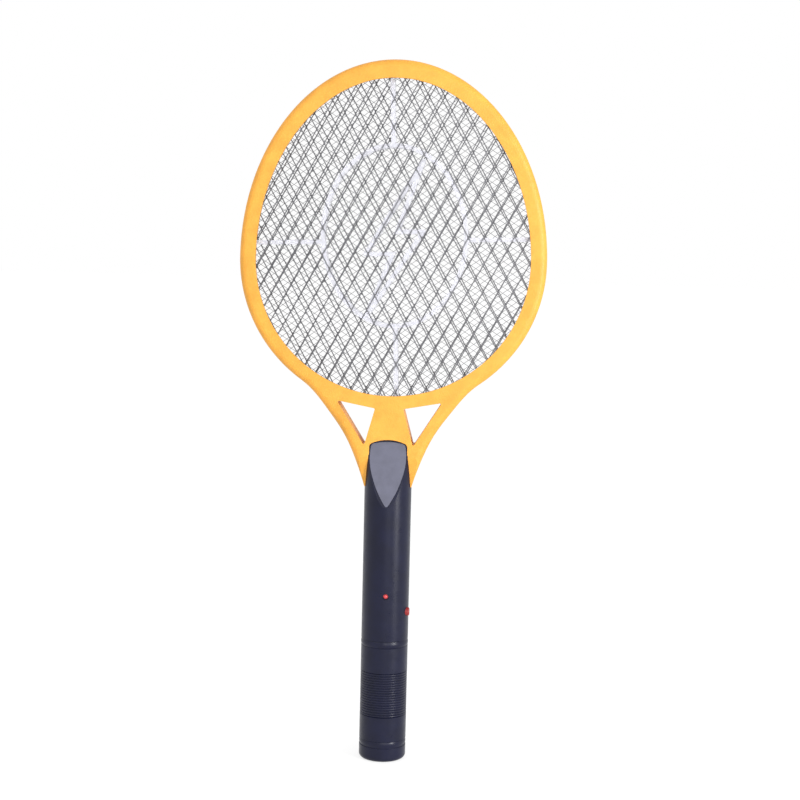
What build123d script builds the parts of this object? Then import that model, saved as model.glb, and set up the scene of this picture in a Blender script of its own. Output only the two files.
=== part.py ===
from build123d import *
import math
import os

# Electric fly swatter, in millimetres. +Z runs up the handle to the top of the head, the front
# faces -Y, +X is to the right seen from the front. The origin is the middle of the tail's base.

# ---- driving dimensions ----

# Handle: a round grip sized by the two AA cells that lie side by side in it.
CELL_RADIUS = 7.1
CELL_LENGTH = 50.5
CELL_CENTRE_X = 7.15
HANDLE_RADIUS = 15.8
SLEEVE_BORE = 14.5
SHELL_WALL = 2.0
SLEEVE_TOP = 82.5
PARTING_GAP = 0.2
SPIGOT_RADIUS = 14.42
SPIGOT_BORE = 12.6
SPIGOT_BOTTOM = 72.0
SLEEVE_BOTTOM = 9.8

# Slanted flat facets cut into the handle's top, front and rear.
FACET_START = 172.9
FACET_SLOPE = 0.2
TONGUE_SHOULDER = 210.0
TONGUE_SIDE_TOP = 214.6
TONGUE_TOP = 217.7
TONGUE_HALF_WIDTH = 12.6
TONGUE_CORNER = 3.0

# Head: an egg of two half ellipses that share their widest line.
WIDEST_Z = 336.3
HEAD_SIDE = 101.6
HEAD_UP = 131.3
HEAD_DOWN = 98.8
OPENING_SIDE = 90.9
OPENING_UP = 119.2
OPENING_DOWN = 89.4
REAR_OPENING_GROW = 2.0
HEAD_HALF_DEPTH = 9.0
FRONT_WALL = 2.7
RIM_WALL = 2.2
HEAD_ROUNDING = 4.5

# Arms that run from the head down the handle's sides.
ARM_TOP_Z = 256.0
ARM_POINTS = ((41.5, 237.2), (30.0, 220.8), (21.3, 202.0))
ARM_TIP = (15.8, 185.9)
ARM_TAPER_Z = 206.0
ARM_TAPER_SLOPE = 0.2
WINDOW_CORNERS = ((35.1, 243.4), (9.4, 238.6), (16.3, 213.5))
WINDOW_ROUNDING = 0.8
POCKET_FLOOR = 220.5

# Tang that carries the head inside the handle.
TANG_HALF_WIDTH = 10.4
TANG_HALF_DEPTH = 4.6
TANG_BOTTOM = 171.0
CHANNEL_HALF_WIDTH = 3.0
CHANNEL_HALF_DEPTH = 2.6

# Grids and the spacers between them.
MESH_THICKNESS = 0.6
CENTRE_THICKNESS = 0.4
RIM_REACH = 5.0
RIM_BAND = 2.5
DIAMOND_WIDTH = 10.15
DIAMOND_HEIGHT = 18.36
STRAND = 0.85
LATTICE_TILT = 2.7
FRONT_SHIFT = (-1.54, 5.29)
REAR_SHIFT = (-0.68, 7.07)
REAR_TURN = -0.75
CENTRE_DIAMOND_WIDTH = 18.3
CENTRE_DIAMOND_HEIGHT = 12.54
CENTRE_STRAND = 0.6
SPACER_REACH = 5.2
SPACER_HIDDEN = 2.2
EMBLEM_CENTRE = (0.7, 352.7)
EMBLEM_TILT = 1.9
EMBLEM_CROSS_DROP = 3.1
EMBLEM_SIDE = 47.3
EMBLEM_UP = 59.3
EMBLEM_BAR = 2.9
EMBLEM_ROOT = 1.0
BOLT = ((19.5, 49.0), (-19.3, -11.6), (-1.3, -11.7), (-20.6, -54.5), (19.1, 2.8), (1.9, 3.0))

# Controls.
LED_X = 0.9
LED_Z = 113.4
LED_RADIUS = 1.5
BUTTON_Z = 101.8
BUTTON_Y = -5.0
BUTTON_RADIUS = 2.8
BUTTON_FIT = 0.08
BUTTON_FLANGE_X = 9.3
BUTTON_FACE_X = 16.6

# Circuit board.
BOARD_HALF_WIDTH = 11.5
BOARD_FRONT = 1.0
BOARD_THICKNESS = 1.6
BOARD_BOTTOM = 91.0
BOARD_TOP = 167.0

# Screws that close the handle.
SCREW_PLACES = ((-7.0, 196.0), (7.0, 196.0), (0.0, 86.5))
SCREW_SEAT = 8.0
SCREW_LENGTH = 15.0
SCREW_SHANK = 1.25
SCREW_PLAY = 0.2
SCREW_HEAD = 2.4
BOSS_RADIUS = 3.2

# Battery tray.
TRAY_RADIUS = 14.2
TRAY_BASE_BOTTOM = 15.0
TRAY_BASE_TOP = 16.8
TRAY_HEAD_BOTTOM = 70.3
CONTACT = 0.5
SPRING_WIRE = 0.4

# Badge plate.
BADGE_SIDE = ((0.5, 173.8), (3.4, 178.2), (6.0, 183.0), (9.0, 190.4), (12.0, 203.0), (11.6, 213.0))
BADGE_TIP_SLOPE = (1.0, 1.1)
BADGE_SIDE_SLOPE = (-0.12, 1.0)
BADGE_SHOULDER = (9.9, 215.2)
BADGE_TOP = 216.3
BADGE_PLAY = 0.1
BADGE_SUNK = 0.5
BADGE_PROUD = 0.2

# Small details.
ARM_TIP_SLOPE = 0.3
ARM_INSET = 1.15
TANG_SCREWS = SCREW_PLACES[:2]
SMALLEST_HOLE = 3.0
SPACER_FAR = HEAD_HALF_DEPTH - FRONT_WALL - MESH_THICKNESS
RIM_BOTTOM = WIDEST_Z - OPENING_DOWN - RIM_REACH
HOLLOW_BOTTOM = 84.4
RIB = 1.5
BOARD_RIBS = (97.0, 157.0)
SCREW_HEAD_HEIGHT = 1.9
CROSS_LENGTH = 2.8
CROSS_WIDTH = 0.6
LED_TIP = -15.75
LED_BACK = -12.5
LED_FLANGE = 0.9
LED_PLAY = 0.2
LED_SINK = 0.7
LEG_RADIUS = 0.25
LEG_PITCH = 1.27
LEG_REACH = 1.2
BUTTON_TRAVEL = 1.2
BUTTON_ROUNDING = 1.0
BUTTON_FLANGE = 1.0
BUTTON_FLANGE_REACH = 0.8
BUTTON_SPRING_TURNS = 2.5
SWITCH_X = (1.5, 7.0)
SWITCH_FRONT = -8.2
SWITCH_HALF = 3.1
SWITCH_BORE_END = 0.4
PLUNGER_RADIUS = 1.5
PLUNGER_X = 5.5

# Parts on the board.
CORE_HALF_WIDTH = 7.0
CORE_DEPTH = (-7.5, -1.5)
CORE_BOTTOM = 140.0
CORE_TOP = 154.0
CORE_LEG = 2.2
WINDOW_OUT = 4.8
YOKE = 2.5
BOBBIN_WALL = 0.6
WINDING_OUT = 2.3
CAP_HALF_WIDTH = 7.0
CAP_DEPTH = (-8.5, 0.3)
CAP_HEIGHT = (121.0, 134.0)
CAP_ROUNDING = 2.5
CAP_LEG_X = 4.0
DISC_X = (-7.0, 0.0, 7.0)
DISC_Y = -2.6
DISC_Z = 161.5
DISC_RADIUS = 3.2
DISC_THICKNESS = 2.4
RESISTOR_X = (-9.5, -6.6, -3.7)
RESISTOR_Z = 112.0
RESISTOR_RADIUS = 1.1
RESISTOR_LENGTH = 6.0
DIODE_X = (3.7, 6.6, 9.5)
DIODE_Z = 112.0
DIODE_RADIUS = 0.95
DIODE_LENGTH = 4.4
TRANSISTOR_PLACE = (-5.0, -2.6, 95.0)
TRANSISTOR_RADIUS = 2.3

# Battery compartment and sleeve.
NUB_RADIUS = 2.75
NUB_HEIGHT = 1.2
CELL_ROUNDING = 0.6
RIGHT_CELL_TOP = 67.8
LEFT_CELL_BOTTOM = 19.3
CONTACT_HALF = 3.6
CONTACT_SPRING = 2.8
CONTACT_TURNS = 2
LINK_HALF = 11.0
TAB_HALF_WIDTH = 1.5
TAB_TOP = 83.6
RAIL_DEPTH = (9.4, 13.6)
RAIL_HALF_WIDTH = 3.4
GROOVE = 0.35
GROOVE_DEPTH = 0.35
LOWER_BEAD = (10.1, 13.8)
UPPER_BEAD = (78.1, 82.3)
UPPER_BEAD_RADIUS = 15.95
RIBS_BOTTOM = 30.9
RIBS_TOP = 60.8
RIB_COUNT = 18
RIB_DEPTH = 0.5
RIB_SHARE = 0.8
TAIL_ROUNDING = 3.0
TAIL_FLOOR = 2.5
TAIL_PLUG_TOP = 14.0

# Leads.
LEAD_RADIUS = 0.5
LEAD_BEND = 4.0
LEAD_GAP = 2.6
LEAD_START_X = 3.5
LEAD_LANE_X = 1.4
LEAD_START_Z = 157.5
LEAD_BRANCH_Z = 232.0
BATTERY_LEAD_X = 8.8
LEAD_RUN = 3.0

CLEARANCE = 0.12
MARGIN = 10.0
FAR = 60.0
STANDING = (Align.CENTER, Align.CENTER, Align.MIN)


# ---- shared shapes ----

def slab(outline, y_low, y_high):
    """A flat outline drawn in X and Z, as a plate between two depths."""
    return extrude(Plane.XZ.offset(-y_high) * outline, amount=y_high - y_low)


def wedge(points):
    """A profile drawn in Y and Z, carried across the whole width."""
    return extrude(Plane.YZ * Polygon(*points, align=None), amount=FAR, both=True)


def column(radius, z_low, z_high):
    """A cylinder on the handle's axis."""
    return Pos(0, 0, z_low) * Cylinder(radius, z_high - z_low, align=STANDING)


def block(x, y, z):
    """A box between the two limits given on each axis."""
    size = (x[1] - x[0], y[1] - y[0], z[1] - z[0])
    return Pos(x[0], y[0], z[0]) * Box(*size, align=(Align.MIN, Align.MIN, Align.MIN))


def rod_y(x, z, radius, y_low, y_high):
    """A round bar that lies front to back."""
    return Pos(x, y_high, z) * Rot(90, 0, 0) * Cylinder(radius, y_high - y_low, align=STANDING)


def rod_x(y, z, radius, x_low, x_high):
    """A round bar that lies left to right."""
    return Pos(x_low, y, z) * Rot(0, 90, 0) * Cylinder(radius, x_high - x_low, align=STANDING)


def wire(points, radius, bends):
    """A round wire along straight runs joined by arcs."""
    route = FilletPolyline(*points, radius=bends) if len(points) > 2 else Line(*points)
    start = Plane(origin=route @ 0, z_dir=route % 0)
    return sweep(start * Circle(radius), path=route)


def coil(radius, height, turns):
    """A compression spring standing on the origin."""
    path = Helix(pitch=height / turns, height=height, radius=radius)
    start = Plane(origin=path @ 0, z_dir=path % 0)
    return sweep(start * Circle(SPRING_WIRE / 2), path=path, is_frenet=True)


def front_half(solid):
    return split(solid, bisect_by=Plane.XZ, keep=Keep.TOP)


def rear_half(solid):
    return split(solid, bisect_by=Plane.XZ, keep=Keep.BOTTOM)


def write(name, *solids):
    """One file for each sub-part; a set of equal pieces shares one."""
    shape = solids[0] if len(solids) == 1 else Compound(children=list(solids))
    export_step(shape, f"parts/{name}.step")


# ---- head outlines ----

def egg(side, up, down):
    """The head's outline: a tall half ellipse on a shorter one."""
    top = EllipticalCenterArc((0, WIDEST_Z), side, up, 0, arc_size=180)
    bottom = EllipticalCenterArc((0, WIDEST_Z), side, down, 180, arc_size=180)
    return make_face([top, bottom])


def opening_egg(grow):
    """The opening's outline, moved outwards evenly."""
    return egg(OPENING_SIDE + grow, OPENING_UP + grow, OPENING_DOWN + grow)


def frame_outline(inset):
    """The egg with the throat that narrows down to the arm tips, moved inwards by a wall."""
    side, down = HEAD_SIDE - inset, HEAD_DOWN - inset
    drop = WIDEST_Z - ARM_TOP_Z
    start_x = side * math.sqrt(1 - (drop / down) ** 2)
    egg_slope = (side / down) ** 2 * drop / start_x
    tangents = ((-egg_slope, -1), (-ARM_TIP_SLOPE, -1))
    points = [(x - inset * ARM_INSET, z) for x, z in (*ARM_POINTS, ARM_TIP)]
    right = Spline((start_x, ARM_TOP_Z), *points, tangents=tangents)
    left = mirror(right, about=Plane.YZ)
    throat = make_face([right, Line(right @ 1, left @ 1), left, Line(left @ 0, right @ 0)])
    return egg(side, HEAD_UP - inset, down) + throat


def windows():
    """The two triangular gaps between the neck and the arms."""
    right = Polygon(*WINDOW_CORNERS, align=None)
    right = fillet(right.vertices(), WINDOW_ROUNDING)
    return right + mirror(right, about=Plane.YZ)


# ---- handle form ----

def facet_line(z, grow):
    """Depth of the front facet at a height, for a form grown by this much."""
    return -HANDLE_RADIUS - grow + FACET_SLOPE * (z - FACET_START)


def facet_layer(deeper, prouder):
    """The layer between two planes parallel to the front facet."""
    low, high = FACET_START - MARGIN, TONGUE_TOP + MARGIN
    return wedge((
        (facet_line(low, prouder), low),
        (facet_line(high, prouder), high),
        (facet_line(high, -deeper), high),
        (facet_line(low, -deeper), low),
    ))


def tongue_outline(grow):
    """Front view of the tongue: straight sides under an arched top."""
    half, side_top = TONGUE_HALF_WIDTH + grow, TONGUE_SIDE_TOP + grow
    crown = ThreePointArc((half, side_top), (0, TONGUE_TOP + grow), (-half, side_top))
    outline = make_face([crown, Polyline(crown @ 1, (-half, 0), (half, 0), crown @ 0)])
    return fillet(outline.vertices().sort_by(Axis.Y)[-2:], TONGUE_CORNER + grow)


def handle_outline(grow):
    """Front view of the grip: full width to the shoulder, then the tongue."""
    width = 2 * (HANDLE_RADIUS + grow)
    grip = Rectangle(width, TONGUE_SHOULDER + grow, align=(Align.CENTER, Align.MIN))
    return grip + tongue_outline(grow)


def handle_form(grow, z_low):
    """The closed form of the handle, grown or shrunk evenly, from one height up."""
    form = column(HANDLE_RADIUS + grow, z_low, TONGUE_TOP + MARGIN)
    form &= slab(handle_outline(grow), -FAR, FAR)
    front_cut = wedge((
        (facet_line(FACET_START, grow), FACET_START),
        (-FAR, FACET_START),
        (-FAR, TONGUE_TOP + MARGIN),
        (facet_line(TONGUE_TOP + MARGIN, grow), TONGUE_TOP + MARGIN),
    ))
    return form - front_cut - mirror(front_cut, about=Plane.XZ)


# ---- frame shells ----

def arm_taper():
    """What is cut off the arms' fronts towards their tips."""
    low = ARM_TIP[1] - MARGIN
    return wedge((
        (-HEAD_HALF_DEPTH, ARM_TAPER_Z),
        (-FAR, ARM_TAPER_Z),
        (-FAR, low),
        (-HEAD_HALF_DEPTH + ARM_TAPER_SLOPE * (ARM_TAPER_Z - low), low),
    ))


def frame_shell(opening_grow):
    """The front half of the head, neck and arms: a hollow shell open to the rear."""
    shell = slab(frame_outline(0), -HEAD_HALF_DEPTH, 0)
    front_edges = shell.faces().sort_by(Axis.Y)[0].edges()
    shell = fillet(front_edges, HEAD_ROUNDING)
    shell -= slab(opening_egg(opening_grow), -FAR, FAR)
    shell -= slab(windows(), -FAR, FAR)
    shell -= arm_taper()
    shell -= frame_cavity()
    shell -= handle_form(CLEARANCE, ARM_TIP[1] - MARGIN)
    shell -= slab(tongue_outline(CLEARANCE), -FAR, 0)
    return shell + tang() - tang_cuts()


def frame_cavity():
    """The hollow behind the front wall, from the ring down into the neck and arms."""
    hollow = frame_outline(RIM_WALL) - offset(windows(), amount=RIM_WALL)
    above = Pos(0, POCKET_FLOOR) * Rectangle(4 * HEAD_SIDE, 4 * HEAD_UP, align=(Align.CENTER, Align.MIN))
    return slab(hollow & above, -HEAD_HALF_DEPTH + FRONT_WALL, 0)


def tang():
    """The flat bar that reaches down inside the handle."""
    width = (-TANG_HALF_WIDTH, TANG_HALF_WIDTH)
    return block(width, (-TANG_HALF_DEPTH, 0), (TANG_BOTTOM, POCKET_FLOOR))


def tang_cuts():
    """The wire channel along the tang, and its screw holes."""
    width = (-CHANNEL_HALF_WIDTH, CHANNEL_HALF_WIDTH)
    cuts = block(width, (-CHANNEL_HALF_DEPTH, 0), (TANG_BOTTOM - 1, POCKET_FLOOR + 1))
    for x, z in TANG_SCREWS:
        cuts += rod_y(x, z, SCREW_SHANK + SCREW_PLAY, -HEAD_HALF_DEPTH, 0)
    return cuts


# ---- grids and spacers ----

def inside_opening(point, grow):
    """Whether a point lies in the opening's outline, grown by this much."""
    height = OPENING_UP if point[1] > WIDEST_Z else OPENING_DOWN
    across = point[0] / (OPENING_SIDE + grow)
    along = (point[1] - WIDEST_Z) / (height + grow)
    return across**2 + along**2 < 1


def diamond_holes(width, height, strand, shift, turn):
    """The grid's diamond holes, those at the rim cut to its inner edge."""
    tilt, lean = math.radians(LATTICE_TILT + turn), math.radians(turn)
    half_w, half_h = width / 2, height / 2
    shrink = 1 - strand / 2 * math.hypot(half_w, half_h) / (half_w * half_h)
    side = Vector(half_w * math.cos(tilt), half_w * math.sin(tilt))
    up = Vector(-half_h * math.sin(lean), half_h * math.cos(lean))
    grow = RIM_REACH - RIM_BAND
    field = opening_egg(grow)
    columns = math.ceil(HEAD_SIDE / half_w) + 1
    rows = math.ceil(HEAD_UP / half_h) + 2
    holes = []
    for i in range(-columns, columns + 1):
        for j in range(-rows, rows + 1):
            if (i + j) % 2:
                continue
            centre = Vector(shift[0], WIDEST_Z + shift[1]) + side * i + up * j
            corners = [centre + step * shrink for step in (side, up, -side, -up)]
            corners = [(corner.X, corner.Y) for corner in corners]
            within = [inside_opening(corner, grow) for corner in corners]
            if all(within):
                holes.append(Wire.make_polygon(corners, close=True))
            elif any(within):
                cut = Polygon(*corners, align=None) & field
                holes += [face.outer_wire() for face in cut.faces() if face.area > SMALLEST_HOLE]
    return holes


def grid(width, height, strand, shift, turn, y_middle, thickness):
    """A flat metal grid with a plain rim."""
    rim = opening_egg(RIM_REACH).face().outer_wire()
    outline = Face(rim, diamond_holes(width, height, strand, shift, turn))
    return slab(outline, y_middle - thickness / 2, y_middle + thickness / 2)


def bolt_band():
    """The bolt's outline, its two tips cut off by the oval."""
    bolt = Polygon(*BOLT, align=None)
    outer = offset(bolt, amount=EMBLEM_BAR / 2, kind=Kind.ARC)
    inner = offset(bolt, amount=-EMBLEM_BAR / 2, kind=Kind.INTERSECTION)
    return (outer - inner) & Ellipse(EMBLEM_SIDE, EMBLEM_UP)


def emblem():
    """The oval, the bolt in it and the four bars that hold them."""
    half = EMBLEM_BAR / 2
    hole = Ellipse(EMBLEM_SIDE - half, EMBLEM_UP - half)
    bars = Pos(0, -EMBLEM_CROSS_DROP) * Rectangle(FAR * 4, EMBLEM_BAR)
    bars += Rectangle(EMBLEM_BAR, FAR * 5)
    oval = Ellipse(EMBLEM_SIDE + half, EMBLEM_UP + half) + bars - hole
    return Pos(*EMBLEM_CENTRE) * Rot(0, 0, EMBLEM_TILT) * (oval + bolt_band())


def spacer(y_low, y_high):
    """The pale plastic spacer that keeps two grids apart."""
    rim = opening_egg(SPACER_REACH) - opening_egg(SPACER_HIDDEN)
    outline = rim + (emblem() & opening_egg(SPACER_HIDDEN + EMBLEM_ROOT))
    lead_gap = block((-LEAD_GAP, LEAD_GAP), (-FAR, FAR), (0, RIM_BOTTOM + LEAD_RADIUS))
    return slab(outline, y_low, y_high) - lead_gap


# ---- handle shells ----

def badge_outline(grow):
    """The shield, with its point down."""
    points = [(x + grow, z) for x, z in BADGE_SIDE]
    side = Spline(*points, tangents=(BADGE_TIP_SLOPE, BADGE_SIDE_SLOPE))
    shoulder = (BADGE_SHOULDER[0] + grow, BADGE_SHOULDER[1] + grow)
    corner = TangentArc(side @ 1, shoulder, tangent=side % 1)
    left_side, left_corner = mirror(side, about=Plane.YZ), mirror(corner, about=Plane.YZ)
    crown = ThreePointArc(corner @ 1, (0, BADGE_TOP + grow), left_corner @ 1)
    tip = Line(left_side @ 0, side @ 0)
    return make_face([side, corner, crown, left_corner, left_side, tip])


def handle_hollow():
    """The handle's inside, open at the top for the tang."""
    hollow = handle_form(-SHELL_WALL, HOLLOW_BOTTOM)
    mouth = TONGUE_HALF_WIDTH - SHELL_WALL
    depth = TANG_HALF_DEPTH + CLEARANCE
    hollow += block((-mouth, mouth), (-depth, depth), (TONGUE_SHOULDER - MARGIN, TONGUE_TOP + MARGIN))
    return hollow + column(SPIGOT_BORE, SPIGOT_BOTTOM - 1, HOLLOW_BOTTOM + 1)


def boss_face(z):
    """Depth of a screw boss's inner face: on the tang, or on the parting plane."""
    return TANG_HALF_DEPTH + CLEARANCE if z > TANG_BOTTOM else 0.0


def handle_blank():
    """Both handle halves in one, with the spigot that the sleeve slides on."""
    shoulder = SLEEVE_TOP + PARTING_GAP
    form = handle_form(0, shoulder) + column(SPIGOT_RADIUS, SPIGOT_BOTTOM, shoulder + 1)
    return form - handle_hollow()


def handle_front():
    """The front shell, with the light's hole, the button's hole and the badge's pocket."""
    shell = front_half(handle_blank())
    solid = handle_form(-SHELL_WALL / 2, SLEEVE_TOP + PARTING_GAP)
    for x, z in SCREW_PLACES:
        shell += rod_y(x, z, BOSS_RADIUS, -HANDLE_RADIUS, -boss_face(z)) & solid
        shell -= rod_y(x, z, SCREW_SHANK, SCREW_SEAT - SCREW_LENGTH - SCREW_PLAY, 0)
    shell -= rod_y(LED_X, LED_Z, LED_RADIUS + LED_PLAY, -FAR, -HANDLE_RADIUS / 2)
    shell -= rod_y(LED_X, LED_Z, LED_RADIUS + LED_SINK, -FAR, -HANDLE_RADIUS + LED_SINK)
    shell -= rod_x(BUTTON_Y, BUTTON_Z, BUTTON_RADIUS + BUTTON_FIT, HANDLE_RADIUS / 2, FAR)
    pocket = slab(badge_outline(BADGE_PLAY), -FAR, 0) & facet_layer(BADGE_SUNK, MARGIN)
    return shell - pocket


def handle_rear():
    """The rear shell, with the screw recesses and two ribs that carry the board."""
    shell = rear_half(handle_blank())
    solid = handle_form(-SHELL_WALL / 2, SLEEVE_TOP + PARTING_GAP)
    board_back = BOARD_FRONT + BOARD_THICKNESS
    for z in BOARD_RIBS:
        rib = block((-BOARD_HALF_WIDTH, BOARD_HALF_WIDTH), (board_back, HANDLE_RADIUS), (z, z + RIB))
        shell += rib & solid
    for x, z in SCREW_PLACES:
        shell += rod_y(x, z, BOSS_RADIUS, boss_face(z), HANDLE_RADIUS) & solid
        shell -= rod_y(x, z, SCREW_HEAD + SCREW_PLAY, SCREW_SEAT, FAR)
        shell -= rod_y(x, z, SCREW_SHANK + SCREW_PLAY, -1, SCREW_SEAT)
    return shell


def badge_plate():
    """The blank shield plate, sunk a little into the facet."""
    return slab(badge_outline(0), -FAR, 0) & facet_layer(BADGE_SUNK, BADGE_PROUD)


def screw(x, z):
    """A pan-head screw with a cross recess."""
    head = rod_y(x, z, SCREW_HEAD, SCREW_SEAT, SCREW_SEAT + SCREW_HEAD_HEIGHT)
    head = fillet(head.edges().sort_by(Axis.Y)[-1], SCREW_HEAD_HEIGHT / 2)
    shank = rod_y(x, z, SCREW_SHANK, SCREW_SEAT - SCREW_LENGTH, SCREW_SEAT)
    depth = (SCREW_SEAT + SCREW_HEAD_HEIGHT / 2, FAR)
    long, short = CROSS_LENGTH / 2, CROSS_WIDTH / 2
    cross = block((x - long, x + long), depth, (z - short, z + short))
    cross += block((x - short, x + short), depth, (z - long, z + long))
    return head + shank - cross


# ---- light and button ----

def indicator_led():
    """A round-nosed light with its flange behind the wall."""
    nose_y = LED_TIP + LED_RADIUS
    body = rod_y(LED_X, LED_Z, LED_RADIUS, nose_y, LED_BACK)
    body += Pos(LED_X, nose_y, LED_Z) * Sphere(LED_RADIUS)
    return body + rod_y(LED_X, LED_Z, LED_RADIUS + LED_PLAY, LED_BACK - LED_FLANGE, LED_BACK)


def led_leads():
    places = (LED_X - LEG_PITCH, LED_X + LEG_PITCH)
    return [rod_y(x, LED_Z, LEG_RADIUS, LED_BACK, BOARD_FRONT) for x in places]


def push_button():
    """The button's cap with a domed face and the flange that keeps it in."""
    cap = rod_x(BUTTON_Y, BUTTON_Z, BUTTON_RADIUS, BUTTON_FLANGE_X, BUTTON_FACE_X)
    cap = fillet(cap.edges().sort_by(Axis.X)[-1], BUTTON_ROUNDING)
    flange_end = BUTTON_FLANGE_X + BUTTON_FLANGE
    reach = BUTTON_RADIUS + BUTTON_FLANGE_REACH
    return cap + rod_x(BUTTON_Y, BUTTON_Z, reach, BUTTON_FLANGE_X, flange_end)


def switch_body():
    """The upright switch on the board, bored for its plunger."""
    height = (BUTTON_Z - SWITCH_HALF, BUTTON_Z + SWITCH_HALF)
    body = block(SWITCH_X, (SWITCH_FRONT, BOARD_FRONT), height)
    bore_end = PLUNGER_X - BUTTON_TRAVEL - SWITCH_BORE_END
    bore = rod_x(BUTTON_Y, BUTTON_Z, PLUNGER_RADIUS + BUTTON_FIT, bore_end, FAR)
    return body - bore


def switch_plunger():
    return rod_x(BUTTON_Y, BUTTON_Z, PLUNGER_RADIUS, PLUNGER_X, BUTTON_FLANGE_X)


def button_spring():
    """The return spring round the plunger, between the switch and the button's flange."""
    gap = BUTTON_FLANGE_X - SWITCH_X[1]
    spring = coil(PLUNGER_RADIUS + 0.6, gap - SPRING_WIRE, BUTTON_SPRING_TURNS)
    return Pos(SWITCH_X[1] + SPRING_WIRE / 2, BUTTON_Y, BUTTON_Z) * Rot(0, 90, 0) * spring


# ---- circuit board and what it carries ----

def circuit_board():
    width = (-BOARD_HALF_WIDTH, BOARD_HALF_WIDTH)
    return block(width, (BOARD_FRONT, BOARD_FRONT + BOARD_THICKNESS), (BOARD_BOTTOM, BOARD_TOP))


def transformer_core():
    """A three-legged ferrite core."""
    x, y = CORE_HALF_WIDTH, CORE_DEPTH
    core = block((-x, x), y, (CORE_BOTTOM, CORE_TOP))
    for low, high in ((-WINDOW_OUT, -CORE_LEG), (CORE_LEG, WINDOW_OUT)):
        core -= block((low, high), (-FAR, FAR), (CORE_BOTTOM + YOKE, CORE_TOP - YOKE))
    return core


def around_leg(out, z_low, z_high, bore):
    """A rectangular collar round the core's middle leg."""
    half = CORE_LEG + out
    collar = block((-half, half), (CORE_DEPTH[0] - out, CORE_DEPTH[1] + out), (z_low, z_high))
    leg = CORE_LEG + bore
    return collar - block((-leg, leg), (CORE_DEPTH[0] - bore, CORE_DEPTH[1] + bore), (z_low, z_high))


def transformer_bobbin():
    """A thin tube round the leg, with a flange at each end."""
    low, high = CORE_BOTTOM + YOKE, CORE_TOP - YOKE
    bobbin = around_leg(BOBBIN_WALL, low, high, 0)
    for z in (low, high - BOBBIN_WALL):
        bobbin += around_leg(WINDING_OUT, z, z + BOBBIN_WALL, 0)
    return bobbin


def transformer_winding():
    low = CORE_BOTTOM + YOKE + BOBBIN_WALL
    high = CORE_TOP - YOKE - BOBBIN_WALL
    return around_leg(WINDING_OUT - 0.3, low, high, BOBBIN_WALL)


def hv_capacitor():
    """The storage capacitor: a rounded block on two legs."""
    body = block((-CAP_HALF_WIDTH, CAP_HALF_WIDTH), CAP_DEPTH, CAP_HEIGHT)
    body = fillet(body.edges().filter_by(Axis.Y), CAP_ROUNDING)
    for x in (-CAP_LEG_X, CAP_LEG_X):
        body += rod_y(x, sum(CAP_HEIGHT) / 2, LEG_RADIUS, CAP_DEPTH[1], BOARD_FRONT)
    return body


def disc_capacitor(x):
    """A round ceramic capacitor standing on two legs."""
    disc = rod_x(DISC_Y, DISC_Z, DISC_RADIUS, x - DISC_THICKNESS / 2, x + DISC_THICKNESS / 2)
    disc = fillet(disc.edges(), DISC_THICKNESS / 3)
    for z in (DISC_Z - DISC_RADIUS / 2, DISC_Z + DISC_RADIUS / 2):
        disc += rod_y(x, z, LEG_RADIUS, DISC_Y, BOARD_FRONT)
    return disc


def axial_part(x, z, radius, length):
    """A resistor or diode lying along the board, on its two bent legs."""
    low, high = z - length / 2 - LEG_REACH, z + length / 2 + LEG_REACH
    middle = BOARD_FRONT - radius - 0.2
    route = ((x, BOARD_FRONT, low), (x, middle, low), (x, middle, high), (x, BOARD_FRONT, high))
    body = Pos(x, middle, z - length / 2) * Cylinder(radius, length, align=STANDING)
    body = fillet(body.edges().filter_by(GeomType.CIRCLE), radius / 3)
    return body + wire(route, LEG_RADIUS, radius / 2)


def transistor():
    """A small three-legged transistor with a flat face."""
    x, y, z = TRANSISTOR_PLACE
    can = Pos(x, y, z) * Cylinder(TRANSISTOR_RADIUS, 2 * TRANSISTOR_RADIUS, align=STANDING)
    can -= block((x - FAR, x + FAR), (-FAR, y - TRANSISTOR_RADIUS / 2), (z - 1, z + FAR))
    for step in (-1, 0, 1):
        leg_x = x + step * LEG_PITCH
        can += rod_y(leg_x, z + TRANSISTOR_RADIUS, LEG_RADIUS, y, BOARD_FRONT)
    return can


# ---- battery compartment ----

def battery(side, z_low, nub_up):
    """An AA cell with its terminal nub up or down."""
    body_low = z_low if nub_up else z_low + NUB_HEIGHT
    nub_low = z_low + CELL_LENGTH - NUB_HEIGHT if nub_up else z_low
    x = side * CELL_CENTRE_X
    can = Pos(x, 0, body_low) * Cylinder(CELL_RADIUS, CELL_LENGTH - NUB_HEIGHT, align=STANDING)
    can = fillet(can.edges().filter_by(GeomType.CIRCLE), CELL_ROUNDING)
    return can + Pos(x, 0, nub_low) * Cylinder(NUB_RADIUS, NUB_HEIGHT, align=STANDING)


def battery_tray():
    """The head that plugs into the spigot, two rails, and the base that holds the cells."""
    tray = column(TRAY_RADIUS, TRAY_HEAD_BOTTOM, SPIGOT_BOTTOM)
    tray += column(SPIGOT_BORE - CLEARANCE, SPIGOT_BOTTOM, SLEEVE_TOP)
    tray -= column(SPIGOT_BORE - SHELL_WALL, SPIGOT_BOTTOM + SHELL_WALL, SLEEVE_TOP + 1)
    tray += column(TRAY_RADIUS, TRAY_BASE_BOTTOM, TRAY_BASE_TOP)
    for y in (RAIL_DEPTH, (-RAIL_DEPTH[1], -RAIL_DEPTH[0])):
        tray += block((-RAIL_HALF_WIDTH, RAIL_HALF_WIDTH), y, (TRAY_BASE_BOTTOM, SPIGOT_BOTTOM))
    for side in (-1, 1):
        tray -= contact_tab(side, CLEARANCE / 2)
    return tray


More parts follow.
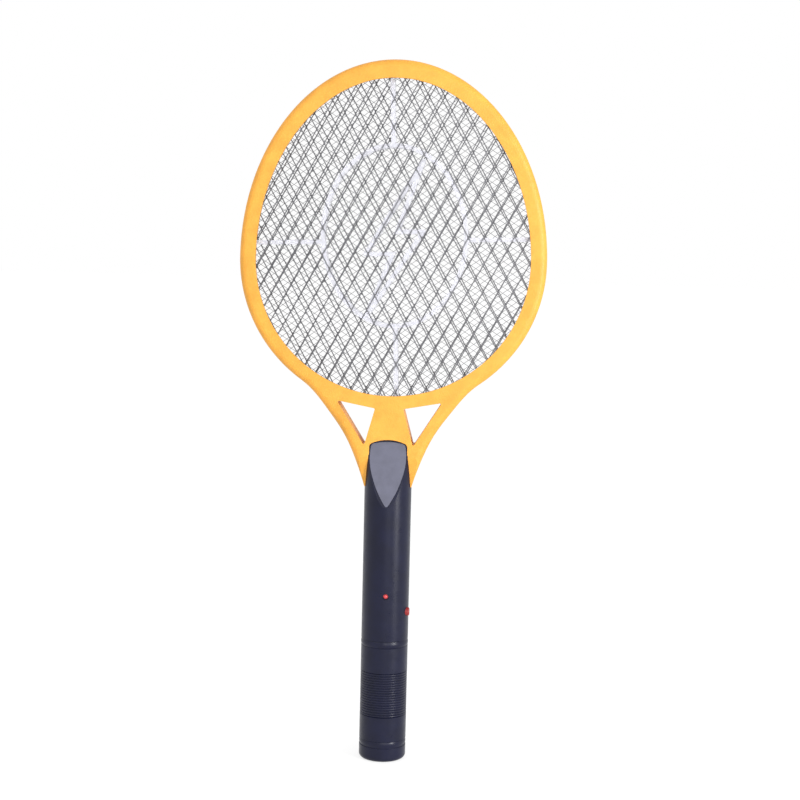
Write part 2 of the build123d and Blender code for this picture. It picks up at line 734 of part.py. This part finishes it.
def contact_tab(side, grow):
    """The strip of a contact that reaches up through the tray's head."""
    x = side * CELL_CENTRE_X
    half_x, half_y = CONTACT / 2 + grow, TAB_HALF_WIDTH + grow
    return block((x - half_x, x + half_x), (-half_y, half_y), (TRAY_HEAD_BOTTOM - CONTACT, TAB_TOP))


def battery_contact(side):
    """A contact plate under the tray's head, with its tab."""
    x = side * CELL_CENTRE_X
    reach = (x - CONTACT_HALF, x + CONTACT_HALF)
    plate = block(reach, (-CONTACT_HALF, CONTACT_HALF), (TRAY_HEAD_BOTTOM - CONTACT, TRAY_HEAD_BOTTOM))
    return plate + contact_tab(side, 0)


def contact_negative():
    """The contact with the spring that presses on the right cell."""
    height = TRAY_HEAD_BOTTOM - CONTACT - RIGHT_CELL_TOP - SPRING_WIRE
    place = Pos(CELL_CENTRE_X, 0, RIGHT_CELL_TOP + SPRING_WIRE / 2)
    return battery_contact(1) + place * coil(CONTACT_SPRING, height + 0.1, CONTACT_TURNS)


def battery_link():
    """The plate that joins the two cells at the tail, with its spring under the left one."""
    top = TRAY_BASE_TOP + CONTACT
    plate = block((-LINK_HALF, LINK_HALF), (-CONTACT_HALF, CONTACT_HALF), (TRAY_BASE_TOP, top))
    height = LEFT_CELL_BOTTOM - top - SPRING_WIRE
    place = Pos(-CELL_CENTRE_X, 0, top + SPRING_WIRE / 2 - 0.1)
    return plate + place * coil(CONTACT_SPRING, height + 0.1, CONTACT_TURNS)


def bulge(r_edge, r_peak, z_low, z_high):
    """A rounded ridge's outline, between two heights."""
    return ThreePointArc((r_edge, z_low), (r_peak, (z_low + z_high) / 2), (r_edge, z_high))


def battery_sleeve():
    """The sleeve: a tube with a bead near each end and a band of rounded ribs."""
    groove = HANDLE_RADIUS - GROOVE_DEPTH
    valley = HANDLE_RADIUS - RIB_DEPTH
    pitch = (RIBS_TOP - RIBS_BOTTOM) / RIB_COUNT
    ridges = [bulge(groove, HANDLE_RADIUS, *LOWER_BEAD)]
    for i in range(RIB_COUNT):
        rib_low = RIBS_BOTTOM + i * pitch
        ridges.append(bulge(valley, HANDLE_RADIUS, rib_low, rib_low + pitch * RIB_SHARE))
    ridges.append(bulge(groove, UPPER_BEAD_RADIUS, *UPPER_BEAD))
    plain = {
        0: ((HANDLE_RADIUS, LOWER_BEAD[1] + GROOVE), (HANDLE_RADIUS, RIBS_BOTTOM - GROOVE)),
        RIB_COUNT: ((HANDLE_RADIUS, RIBS_TOP), (HANDLE_RADIUS, UPPER_BEAD[0] - GROOVE)),
    }
    edges = [Line((groove, SLEEVE_BOTTOM), ridges[0] @ 0)]
    for i, ridge in enumerate(ridges[:-1]):
        edges += [ridge, Polyline(ridge @ 1, *plain.get(i, ()), ridges[i + 1] @ 0)]
    last = ridges[-1]
    bore = ((SLEEVE_BORE, SLEEVE_TOP), (SLEEVE_BORE, SLEEVE_BOTTOM), (groove, SLEEVE_BOTTOM))
    edges += [last, Polyline(last @ 1, (groove, SLEEVE_TOP), *bore)]
    return revolve(Plane.XZ * make_face(edges), axis=Axis.Z)


def tail_cap():
    """The rounded end, pressed into the sleeve."""
    cap = column(HANDLE_RADIUS, 0, SLEEVE_BOTTOM - GROOVE)
    cap = fillet(cap.edges().filter_by(GeomType.CIRCLE).sort_by(Axis.Z)[0], TAIL_ROUNDING)
    cap += column(HANDLE_RADIUS - GROOVE_DEPTH, TAIL_ROUNDING, SLEEVE_BOTTOM)
    cap += column(SLEEVE_BORE, TAIL_ROUNDING, TAIL_PLUG_TOP)
    return cap - column(SLEEVE_BORE - SHELL_WALL, TAIL_FLOOR, TAIL_PLUG_TOP + 1)


# ---- leads ----

def grid_lead_route(side, end):
    """From the board's front up the tang's channel."""
    start = side * LEAD_START_X
    lane = side * LEAD_LANE_X
    front = BOARD_FRONT - LEAD_RADIUS
    return [
        (start, front, LEAD_START_Z),
        (start, front, BOARD_TOP - LEAD_RUN),
        (lane, 0, TANG_BOTTOM - 1),
        (lane, 0, end),
    ]


def lead_grid_centre():
    """To the lower edge of the fine grid."""
    return wire(grid_lead_route(-1, RIM_BOTTOM), LEAD_RADIUS, LEAD_BEND)


def lead_grid_outer():
    """To both coarse grids, branching in the neck."""
    lead = wire(grid_lead_route(1, LEAD_BRANCH_Z), LEAD_RADIUS, LEAD_BEND)
    reach = (SPACER_FAR + MESH_THICKNESS / 2) - LEAD_RADIUS / 2
    for side in (-1, 1):
        route = (
            (LEAD_LANE_X, 0, LEAD_BRANCH_Z),
            (LEAD_LANE_X, side * reach, LEAD_BRANCH_Z),
            (LEAD_LANE_X, side * reach, RIM_BOTTOM),
        )
        lead += wire(route, LEAD_RADIUS, LEAD_BEND / 2)
    return lead


def battery_lead(side):
    """From a contact's tab to the foot of the board."""
    x = side * CELL_CENTRE_X
    foot = side * BATTERY_LEAD_X
    front = BOARD_FRONT - LEAD_RADIUS
    route = (
        (x, 0, TAB_TOP),
        (x, 0, TAB_TOP + LEAD_RUN),
        (foot, front, BOARD_BOTTOM),
        (foot, front, BOARD_BOTTOM + LEAD_RUN),
    )
    return wire(route, LEAD_RADIUS, LEAD_BEND / 2)


# ---- the sub-parts ----

write("frame_front", frame_shell(0))
write("frame_rear", mirror(frame_shell(REAR_OPENING_GROW), about=Plane.XZ))
coarse = (DIAMOND_WIDTH, DIAMOND_HEIGHT, STRAND)
grid_y = SPACER_FAR + MESH_THICKNESS / 2
write("grid_front", grid(*coarse, FRONT_SHIFT, 0, -grid_y, MESH_THICKNESS))
write("grid_rear", grid(*coarse, REAR_SHIFT, REAR_TURN, grid_y, MESH_THICKNESS))
fine = (CENTRE_DIAMOND_WIDTH, CENTRE_DIAMOND_HEIGHT, CENTRE_STRAND)
write("grid_centre", grid(*fine, (0, 0), 0, 0, CENTRE_THICKNESS))
write("spacer_front", spacer(-SPACER_FAR, -CENTRE_THICKNESS / 2))
write("spacer_rear", spacer(CENTRE_THICKNESS / 2, SPACER_FAR))
write("handle_front", handle_front())
write("handle_rear", handle_rear())
write("badge_plate", badge_plate())
write("handle_screws", *(screw(x, z) for x, z in SCREW_PLACES))
write("indicator_led", indicator_led())
write("led_leads", *led_leads())
write("push_button", push_button())
write("switch_body", switch_body())
write("switch_plunger", switch_plunger())
write("button_spring", button_spring())
write("circuit_board", circuit_board())
write("transformer_core", transformer_core())
write("transformer_bobbin", transformer_bobbin())
write("transformer_winding", transformer_winding())
write("hv_capacitor", hv_capacitor())
write("disc_capacitors", *(disc_capacitor(x) for x in DISC_X))
write("resistors", *(axial_part(x, RESISTOR_Z, RESISTOR_RADIUS, RESISTOR_LENGTH) for x in RESISTOR_X))
write("rectifier_diodes", *(axial_part(x, DIODE_Z, DIODE_RADIUS, DIODE_LENGTH) for x in DIODE_X))
write("transistor", transistor())
write("battery_left", battery(-1, LEFT_CELL_BOTTOM, True))
write("battery_right", battery(1, RIGHT_CELL_TOP - CELL_LENGTH, False))
write("battery_tray", battery_tray())
write("contact_positive", battery_contact(-1))
write("contact_negative", contact_negative())
write("battery_link", battery_link())
write("battery_sleeve", battery_sleeve())
write("tail_cap", tail_cap())
write("lead_grid_centre", lead_grid_centre())
write("lead_grid_outer", lead_grid_outer())
write("lead_battery_positive", battery_lead(-1))
write("lead_battery_negative", battery_lead(1))
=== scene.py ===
import math

import bpy
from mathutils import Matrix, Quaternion, Vector


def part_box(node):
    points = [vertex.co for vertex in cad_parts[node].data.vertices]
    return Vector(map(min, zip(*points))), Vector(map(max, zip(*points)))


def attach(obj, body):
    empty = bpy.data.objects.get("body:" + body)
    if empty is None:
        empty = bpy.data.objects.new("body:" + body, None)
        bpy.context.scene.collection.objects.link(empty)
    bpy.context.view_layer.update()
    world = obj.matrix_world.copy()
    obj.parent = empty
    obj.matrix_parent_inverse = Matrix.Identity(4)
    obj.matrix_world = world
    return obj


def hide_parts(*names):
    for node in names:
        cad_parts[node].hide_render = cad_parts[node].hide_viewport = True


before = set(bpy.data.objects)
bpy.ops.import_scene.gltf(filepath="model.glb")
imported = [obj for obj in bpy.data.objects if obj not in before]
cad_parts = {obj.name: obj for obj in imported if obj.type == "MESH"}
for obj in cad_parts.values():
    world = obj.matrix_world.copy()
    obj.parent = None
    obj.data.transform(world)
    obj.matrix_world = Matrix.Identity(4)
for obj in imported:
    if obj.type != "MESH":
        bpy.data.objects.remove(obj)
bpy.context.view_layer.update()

# Electric fly swatter, in metres, in the frame of the CAD model: +Z up, the front faces -Y.

MM = 0.001
WHITE_WORLD = 1.0
FLOOR_SIZE = 30.0
FLOOR_GREY = 0.3
FLOOR_GLOW = 0.72

# Camera.
LENS = 70.0
SENSOR = 36.0
CAMERA_AIM = Vector((6.66, 0.0, 243.96)) * MM
CAMERA_DISTANCE = 1040 * MM
CAMERA_PITCH = math.radians(5.0)
CAMERA_YAW = math.radians(3.0)
CAMERA_ROLL = math.radians(1.35)

# The head's opening, two half ellipses that share their widest line. REACH is past its far side.
WIDEST_Z = 336.3 * MM
OPENING_SIDE = 90.9 * MM
OPENING_UP = 119.2 * MM
OPENING_DOWN = 89.4 * MM
RIM_REACH = 5.0 * MM
RIM_BAND = 2.5 * MM
RIM_STEPS = 160
REACH = 260 * MM
CHORD_STEP = 2 * MM
CHORD_HALVINGS = 12

# The coarse grids and the fine one.
LATTICE_TILT = math.radians(2.7)
COARSE_WIDTH = 10.15 * MM
COARSE_HEIGHT = 18.36 * MM
COARSE_STRAND = 0.65 * MM
COARSE_THICKNESS = 0.5 * MM
COARSE_LIFT = 0.05 * MM
KNOT_REACH = 1.3 * MM
KNOT_WIDTH = 1.05 * MM
KNOT_PROFILE = ((-1, 0.4), (-0.4, 1), (0.4, 1), (1, 0.4))
STRAND_CORNER = 0.45
STRAND_TUCK = 1 * MM
FRONT_SHIFT = (-1.22 * MM, 4.87 * MM)
REAR_SHIFT = (-0.35 * MM, 6.8 * MM)
REAR_TURN = math.radians(-0.75)
FINE_WIDTH = 6.1 * MM
FINE_HEIGHT = 4.18 * MM
FINE_WIRE = 0.3 * MM
FINE_SWAY = 0.06 * MM
FINE_SIDES = 6


# ---- camera, floor and light ----

def add_camera():
    """A long lens a little to the right of the front and above the middle, rolled slightly."""
    data = bpy.data.cameras.new("camera")
    data.lens = LENS
    data.sensor_width = SENSOR
    camera = bpy.data.objects.new("camera", data)
    bpy.context.scene.collection.objects.link(camera)
    level = math.cos(CAMERA_PITCH)
    back = Vector((math.sin(CAMERA_YAW) * level, -math.cos(CAMERA_YAW) * level, math.sin(CAMERA_PITCH)))
    camera.location = CAMERA_AIM + back * CAMERA_DISTANCE
    camera.rotation_mode = "QUATERNION"
    camera.rotation_quaternion = (-back).to_track_quat("-Z", "Y") @ Quaternion((0, 0, 1), CAMERA_ROLL)
    bpy.context.scene.camera = camera


def add_floor():
    """A floor that glows a little, like a light table, so that no shadow shows."""
    mesh = bpy.data.meshes.new("floor")
    corners = [(x * FLOOR_SIZE, y * FLOOR_SIZE, 0) for x, y in ((-1, -1), (1, -1), (1, 1), (-1, 1))]
    mesh.from_pydata(corners, [], [(0, 1, 2, 3)])
    floor = bpy.data.objects.new("floor", mesh)
    bpy.context.scene.collection.objects.link(floor)
    material = bpy.data.materials.new("floor_white")
    material.use_nodes = True
    shader = material.node_tree.nodes["Principled BSDF"]
    shader.inputs["Base Color"].default_value = (FLOOR_GREY, FLOOR_GREY, FLOOR_GREY, 1)
    shader.inputs["Emission Color"].default_value = (1, 1, 1, 1)
    shader.inputs["Emission Strength"].default_value = FLOOR_GLOW
    shader.inputs["Roughness"].default_value = 1.0
    shader.inputs["Specular IOR Level"].default_value = 0.0
    mesh.materials.append(material)


def add_area(name, place, aim, size, power):
    """A soft box, its width and height in metres and its power in watts."""
    data = bpy.data.lights.new(name, "AREA")
    data.shape = "RECTANGLE"
    data.size, data.size_y = size
    data.energy = power
    light = bpy.data.objects.new(name, data)
    bpy.context.scene.collection.objects.link(light)
    light.location = place
    light.rotation_mode = "QUATERNION"
    light.rotation_quaternion = (Vector(aim) - Vector(place)).to_track_quat("-Z", "Y")


def add_world():
    world = bpy.data.worlds.new("studio")
    bpy.context.scene.world = world
    world.use_nodes = True
    background = world.node_tree.nodes["Background"]
    background.inputs["Color"].default_value = (1, 1, 1, 1)
    background.inputs["Strength"].default_value = WHITE_WORLD


def add_lights():
    """A soft key, a low front light and the strip that draws the highlight down the handle."""
    add_area("key", (-0.9, -1.1, 1.3), (0, 0, 0.3), (0.9, 0.9), 3)
    add_area("front", (0.25, -1.35, 0.46), (0, 0, 0.46), (0.55, 0.9), 4)
    add_area("strip", (1.1, -0.9, 0.46), (0, 0, 0.46), (0.3, 0.9), 18)


# ---- materials ----

class Nodes:
    """A short way to build one material's node tree."""

    def __init__(self, name):
        self.material = bpy.data.materials.new(name)
        self.material.use_nodes = True
        self.tree = self.material.node_tree
        self.shader = self.tree.nodes["Principled BSDF"]
        self.place = self.add("ShaderNodeTexCoord").outputs["Object"]

    def add(self, kind, **settings):
        node = self.tree.nodes.new(kind)
        for key, value in settings.items():
            setattr(node, key, value)
        return node

    def link(self, output, socket):
        self.tree.links.new(output, socket)

    def set(self, **values):
        for key, value in values.items():
            self.shader.inputs[key.replace("_", " ")].default_value = value

    def noise(self, size, detail=2.0, rough=0.5, stretch=(1, 1, 1)):
        """Noise whose features are about size metres across."""
        mapping = self.add("ShaderNodeMapping")
        mapping.inputs["Scale"].default_value = stretch
        self.link(self.place, mapping.inputs["Vector"])
        node = self.add("ShaderNodeTexNoise")
        node.inputs["Scale"].default_value = 1 / size
        node.inputs["Detail"].default_value = detail
        node.inputs["Roughness"].default_value = rough
        self.link(mapping.outputs["Vector"], node.inputs["Vector"])
        return node.outputs["Fac"]

    def cells(self, size):
        """Rounded pebbles about size metres across."""
        node = self.add("ShaderNodeTexVoronoi", feature="F1")
        node.inputs["Scale"].default_value = 1 / size
        self.link(self.place, node.inputs["Vector"])
        return node.outputs["Distance"]

    def ramp(self, value, low, high):
        """Two colours mixed by a value between 0.35 and 0.65."""
        node = self.add("ShaderNodeValToRGB")
        node.color_ramp.elements[0].position = 0.35
        node.color_ramp.elements[0].color = (*low, 1)
        node.color_ramp.elements[1].position = 0.65
        node.color_ramp.elements[1].color = (*high, 1)
        self.link(value, node.inputs["Fac"])
        return node.outputs["Color"]

    def spread(self, value, low, high):
        """A value from 0.3 to 0.7 spread over another range."""
        node = self.add("ShaderNodeMapRange")
        for name, number in (("From Min", 0.3), ("From Max", 0.7), ("To Min", low), ("To Max", high)):
            node.inputs[name].default_value = number
        self.link(value, node.inputs["Value"])
        return node.outputs["Result"]

    def bump(self, height, depth, strength=1.0, after=None):
        """Bump of a real depth in metres, on top of another one if given."""
        node = self.add("ShaderNodeBump")
        node.inputs["Strength"].default_value = strength
        node.inputs["Distance"].default_value = depth
        self.link(height, node.inputs["Height"])
        if after is not None:
            self.link(after, node.inputs["Normal"])
        return node.outputs["Normal"]

    def colour(self, output):
        self.link(output, self.shader.inputs["Base Color"])

    def roughness(self, output):
        self.link(output, self.shader.inputs["Roughness"])

    def normal(self, output):
        self.link(output, self.shader.inputs["Normal"])


def tint(colour, factor):
    """A colour made lighter or darker."""
    return tuple(min(1.0, c * factor) for c in colour)


def plastic(name, colour, rough, grain=0.4 * MM, depth=0.01 * MM, vary=0.06, blotch=12 * MM):
    """Moulded plastic: faint cloudy colour, uneven gloss and a fine surface grain."""
    m = Nodes(name)
    cloud = m.noise(blotch, 3)
    m.colour(m.ramp(cloud, tint(colour, 1 - vary), tint(colour, 1 + vary)))
    m.roughness(m.spread(m.noise(blotch / 3, 4), rough - 0.06, rough + 0.06))
    m.normal(m.bump(m.noise(grain, 2), depth))
    return m


def metal(name, colour, rough, grain=0.15 * MM, stretch=(1, 1, 1), vary=0.12):
    """Bare or plated metal with fine drawn lines and slight tarnish."""
    m = Nodes(name)
    m.set(Metallic=1.0)
    m.colour(m.ramp(m.noise(4 * MM, 4), tint(colour, 1 - vary), tint(colour, 1 + vary)))
    lines = m.noise(grain, 3, 0.6, stretch)
    m.roughness(m.spread(lines, rough - 0.08, rough + 0.1))
    m.normal(m.bump(lines, 0.004 * MM))
    return m


# ---- grids ----

def in_opening(x, z, grow):
    """Whether a point lies in the head's opening, grown by this much."""
    height = OPENING_UP if z > WIDEST_Z else OPENING_DOWN
    return (x / (OPENING_SIDE + grow)) ** 2 + ((z - WIDEST_Z) / (height + grow)) ** 2 < 1


def chord(point, direction, grow):
    """The stretch of a line that lies in the opening: its two ends, or None."""
    count = int(REACH / CHORD_STEP)
    steps_in = range(-count, count + 1)
    inside = [i for i in steps_in if in_opening(*(point + direction * i * CHORD_STEP), grow)]
    if not inside:
        return None
    ends = []
    for first, way in ((inside[0], -1), (inside[-1], 1)):
        near, far = first * CHORD_STEP, (first + way) * CHORD_STEP
        for _ in range(CHORD_HALVINGS):
            middle = (near + far) / 2
            if in_opening(*(point + direction * middle), grow):
                near = middle
            else:
                far = middle
        ends.append(near)
    return ends


def steps(width, height, turn):
    """Half a diamond sideways and half a diamond up."""
    tilt = LATTICE_TILT + turn
    side = Vector((math.cos(tilt), math.sin(tilt))) * width / 2
    up = Vector((-math.sin(turn), math.cos(turn))) * height / 2
    return side, up


def lattice(width, height, shift, turn):
    """The two families of lines along a diamond grid: family, a point and a direction for each line."""
    side, up = steps(width, height, turn)
    start = Vector((shift[0], WIDEST_Z + shift[1]))
    count = int(REACH / width) + 1
    for family, direction in enumerate((up + side, up - side)):
        for k in range(-count, count + 1):
            yield family, start + side * (2 * k + 1), direction


def crossings(width, height, shift, turn):
    """Where the two families of a diamond grid meet, inside the rim."""
    side, up = steps(width, height, turn)
    start = Vector((shift[0], WIDEST_Z + shift[1]))
    count = int(REACH / width) + 1
    for i in range(-count, count + 1):
        for j in range(-count, count + 1):
            point = start + side * i + up * j
            if (i + j) % 2 and in_opening(*point, RIM_REACH - RIM_BAND):
                yield point


class MeshData:
    """Vertices and faces of one piece, collected before its mesh is made."""

    def __init__(self):
        self.points = []
        self.faces = []

    def tube(self, rings, closed=False):
        """Skin over a list of rings with equal counts, with end caps unless it closes on itself."""
        first, size = len(self.points), len(rings[0])
        for ring in rings:
            self.points += ring
        for i in range(len(rings) if closed else len(rings) - 1):
            low = first + i * size
            high = first + (i + 1) % len(rings) * size
            for j in range(size):
                k = (j + 1) % size
                self.faces.append((low + j, low + k, high + k, high + j))
        if not closed:
            self.faces.append(tuple(first + j for j in reversed(range(size))))
            last = first + (len(rings) - 1) * size
            self.faces.append(tuple(last + j for j in range(size)))

    def build(self, name, body, material, smooth_angle=40):
        mesh = bpy.data.meshes.new(name)
        mesh.from_pydata([tuple(p) for p in self.points], [], self.faces)
        mesh.materials.append(material)
        mesh.shade_smooth()
        mesh.set_sharp_from_angle(angle=math.radians(smooth_angle))
        piece = bpy.data.objects.new(name, mesh)
        bpy.context.scene.collection.objects.link(piece)
        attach(piece, body)
        return piece


def strand_ring(centre, across, width, thickness):
    """An eight-sided section with its corners taken off; across is a direction in X and Z."""
    w, t = width / 2, thickness / 2
    cut = min(w, t) * STRAND_CORNER
    upper = ((w, t - cut), (w - cut, t), (cut - w, t), (-w, t - cut))
    outline = (*upper, *((-u, -v) for u, v in upper))
    x, y, z = centre
    return [(x + across[0] * u, y + v, z + across[1] * u) for u, v in outline]


def add_coarse_grid(name, node, shift, turn, material):
    """A coarse grid of slit and stretched sheet: slim strands, with a longer knot where two meet."""
    low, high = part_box(node)
    y_middle = (low.y + high.y) / 2
    data = MeshData()
    for family, point, direction in lattice(COARSE_WIDTH, COARSE_HEIGHT, shift, turn):
        unit = direction.normalized()
        ends = chord(point, unit, RIM_REACH - STRAND_TUCK)
        if ends is None:
            continue
        across = Vector((-unit.y, unit.x))
        lift = COARSE_LIFT if family else -COARSE_LIFT
        rings = []
        for distance in ends:
            x, z = point + unit * distance
            rings.append(strand_ring((x, y_middle + lift, z), across, COARSE_STRAND, COARSE_THICKNESS))
        data.tube(rings)
    for x, z in crossings(COARSE_WIDTH, COARSE_HEIGHT, shift, turn):
        rings = []
        for height, width in KNOT_PROFILE:
            place = (x, y_middle, z + height * KNOT_REACH)
            rings.append(strand_ring(place, (1, 0), width * KNOT_WIDTH, COARSE_THICKNESS))
        data.tube(rings)
    add_rim(data, y_middle, high.y - low.y)
    piece = data.build(name, "racket", material)
    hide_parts(node)


def add_rim(data, y_middle, thickness):
    """The flat band round a grid, out of sight in the frame's channel."""
    rings = []
    inner = RIM_REACH - RIM_BAND
    for i in range(RIM_STEPS):
        angle = 2 * math.pi * i / RIM_STEPS
        up = OPENING_UP if math.sin(angle) > 0 else OPENING_DOWN
        ring = []
        for grow, y in ((RIM_REACH, -1), (RIM_REACH, 1), (inner, 1), (inner, -1)):
            x = (OPENING_SIDE + grow) * math.cos(angle)
            z = WIDEST_Z + (up + grow) * math.sin(angle)
            ring.append((x, y_middle + y * thickness / 2, z))
        rings.append(ring)
    data.tube(rings, closed=True)


def add_fine_grid(name, node, material):
    """The live grid: fine round wire woven over and under at every crossing."""
    low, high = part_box(node)
    y_middle = (low.y + high.y) / 2
    data = MeshData()
    pitch = math.hypot(FINE_WIDTH, FINE_HEIGHT) / 2
    for family, point, direction in lattice(FINE_WIDTH, FINE_HEIGHT, (0, 0), 0):
        unit = direction.normalized()
        ends = chord(point, unit, RIM_REACH - RIM_BAND)
        if ends is None:
            continue
        across = Vector((-unit.y, unit.x))
        first, last = (math.ceil(ends[0] / pitch * 2), math.floor(ends[1] / pitch * 2))
        stops = [ends[0], *(i * pitch / 2 for i in range(first, last + 1)), ends[1]]
        rings = []
        for distance in stops:
            x, z = point + unit * distance
            sway = math.sin(math.pi * distance / pitch + math.pi / 2 + math.pi * family)
            y = y_middle + FINE_SWAY * sway
            ring = []
            for corner in range(FINE_SIDES):
                turn = math.tau * corner / FINE_SIDES
                u, v = FINE_WIRE / 2 * math.cos(turn), FINE_WIRE / 2 * math.sin(turn)
                ring.append((x + across[0] * u, y + v, z + across[1] * u))
            rings.append(ring)
        data.tube(rings)
    add_rim(data, y_middle, high.y - low.y)
    piece = data.build(name, "racket", material)
    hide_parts(node)


# ---- CAD nodes ----

def soften(name, width, angle=35, segments=2):
    """Rounds a moulded node's sharp edges a little and shades it smoothly."""
    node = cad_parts[name]
    weld = node.modifiers.new("weld", "WELD")
    weld.merge_threshold = 0.001 * MM
    bevel = node.modifiers.new("bevel", "BEVEL")
    bevel.width = width
    bevel.segments = segments
    bevel.limit_method = "ANGLE"
    bevel.angle_limit = math.radians(angle)
    bevel.use_clamp_overlap = True
    bevel.harden_normals = False
    normals = node.modifiers.new("normals", "WEIGHTED_NORMAL")
    normals.keep_sharp = True


def paint(material, *names):
    """Puts one material on CAD nodes."""
    for name in names:
        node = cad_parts[name]
        for slot in node.material_slots:
            slot.material = material


def frame_material():
    """Orange moulding with a fine leather grain."""
    m = Nodes("frame_orange")
    cloud = m.noise(14 * MM, 8, 0.72)
    m.colour(m.ramp(cloud, (0.60, 0.27, 0.024), (0.74, 0.335, 0.036)))
    pebbles = m.cells(0.9 * MM)
    m.roughness(m.spread(m.noise(2 * MM, 4), 0.42, 0.58))
    fine = m.bump(m.noise(0.3 * MM, 2), 0.03 * MM)
    m.normal(m.bump(pebbles, 0.12 * MM, 0.8, after=fine))
    m.set(Subsurface_Weight=0.05, Subsurface_Scale=2 * MM)
    return m.material


def handle_material():
    """Satin black plastic with a blue cast."""
    m = plastic("handle_black", (0.004, 0.005, 0.020), 0.33, grain=0.3 * MM, depth=0.002 * MM, vary=0.15)
    m.set(IOR=1.34)
    return m.material


def badge_material():
    """Grey plastic plate."""
    grey = (0.088, 0.090, 0.130)
    m = plastic("badge_grey", grey, 0.38, grain=0.3 * MM, depth=0.006 * MM, vary=0.08, blotch=6 * MM)
    return m.material


def spacer_material():
    """Milky plastic with a lavender cast, a little light passing through it."""
    m = plastic("spacer_milky", (0.90, 0.90, 0.95), 0.22, grain=0.5 * MM, depth=0.008 * MM, vary=0.02)
    m.set(Transmission_Weight=0.65, IOR=1.3)
    return m.material


def led_material():
    """Red lens that glows faintly."""
    m = plastic("led_red", (0.45, 0.03, 0.04), 0.12, grain=1.0 * MM, depth=0.002 * MM)
    m.set(Transmission_Weight=0.2, Emission_Color=(1.0, 0.20, 0.20, 1), Emission_Strength=0.22)
    return m.material


def board_material():
    """Tan phenolic board with faint woven fibres."""
    m = Nodes("board_tan")
    weave = m.noise(0.8 * MM, 3, stretch=(1, 1, 0.2))
    m.colour(m.ramp(weave, (0.42, 0.27, 0.10), (0.56, 0.38, 0.16)))
    m.roughness(m.spread(m.noise(5 * MM), 0.45, 0.6))
    m.normal(m.bump(weave, 0.01 * MM))
    return m.material


def cell_material():
    """A cell's film: a plain dark can with an uneven sheen."""
    m = Nodes("cell_film")
    m.colour(m.ramp(m.noise(9 * MM, 2), (0.035, 0.05, 0.06), (0.05, 0.065, 0.08)))
    m.roughness(m.spread(m.noise(1.5 * MM, 3), 0.25, 0.4))
    m.normal(m.bump(m.noise(0.4 * MM), 0.004 * MM))
    m.set(Metallic=0.5, Coat_Weight=0.4, Coat_Roughness=0.15)
    return m.material


def paint_nodes():
    """Every CAD node's material, outside first."""
    paint(frame_material(), "frame_front", "frame_rear")
    paint(handle_material(), "handle_front", "handle_rear", "battery_sleeve", "tail_cap")
    paint(badge_material(), "badge_plate")
    paint(spacer_material(), "spacer_front", "spacer_rear")
    paint(led_material(), "indicator_led")
    paint(plastic("button_red", (0.26, 0.012, 0.012), 0.4, vary=0.08).material, "push_button")
    paint(plastic("switch_black", (0.02, 0.02, 0.022), 0.5).material, "switch_body", "battery_tray")
    paint(plastic("nylon_white", (0.80, 0.78, 0.70), 0.5).material, "switch_plunger", "transformer_bobbin")
    paint(board_material(), "circuit_board")
    paint(plastic("ferrite", (0.035, 0.035, 0.038), 0.65, depth=0.02 * MM).material, "transformer_core")
    copper = metal("enamelled_copper", (0.72, 0.27, 0.12), 0.3, stretch=(1, 1, 6))
    paint(copper.material, "transformer_winding")
    paint(plastic("dipped_brown", (0.30, 0.06, 0.03), 0.25).material, "hv_capacitor")
    paint(plastic("ceramic_blue", (0.03, 0.10, 0.36), 0.3).material, "disc_capacitors")
    paint(plastic("lacquer_tan", (0.62, 0.46, 0.26), 0.35).material, "resistors")
    paint(plastic("epoxy_black", (0.022, 0.022, 0.024), 0.4).material, "rectifier_diodes", "transistor")
    paint(metal("tinned_wire", (0.75, 0.75, 0.76), 0.25).material, "led_leads")
    steel = metal("zinc_steel", (0.62, 0.62, 0.64), 0.32)
    paint(steel.material, "handle_screws", "button_spring")
    nickel = metal("nickel_plate", (0.72, 0.70, 0.66), 0.22)
    paint(nickel.material, "contact_positive", "contact_negative", "battery_link")
    paint(cell_material(), "battery_left", "battery_right")
    red = plastic("pvc_red", (0.50, 0.02, 0.018), 0.4)
    paint(red.material, "lead_grid_centre", "lead_battery_positive")
    paint(plastic("pvc_white", (0.72, 0.72, 0.70), 0.4).material, "lead_grid_outer")
    paint(plastic("pvc_black", (0.02, 0.02, 0.022), 0.4).material, "lead_battery_negative")


def soften_nodes():
    """Small roundings on the moulded and cut pieces."""
    for name in ("frame_front", "frame_rear"):
        soften(name, 0.35 * MM)
    for name in ("handle_front", "handle_rear"):
        soften(name, 0.25 * MM)
    for name in ("spacer_front", "spacer_rear"):
        soften(name, 0.4 * MM)
    for name in ("badge_plate", "battery_tray", "circuit_board", "transformer_core", "switch_body"):
        soften(name, 0.15 * MM)


# ---- the scene ----

bpy.context.scene.view_settings.view_transform = "Standard"
add_camera()
add_world()
add_lights()
add_floor()
paint_nodes()
soften_nodes()
coarse = metal("grid_steel", (0.15, 0.15, 0.16), 0.38, vary=0.2)
add_coarse_grid("coarse_grid_front", "grid_front", FRONT_SHIFT, 0, coarse.material)
add_coarse_grid("coarse_grid_rear", "grid_rear", REAR_SHIFT, REAR_TURN, coarse.material)
fine_steel = metal("fine_steel", (0.18, 0.18, 0.19), 0.35, vary=0.15)
add_fine_grid("fine_grid", "grid_centre", fine_steel.material)
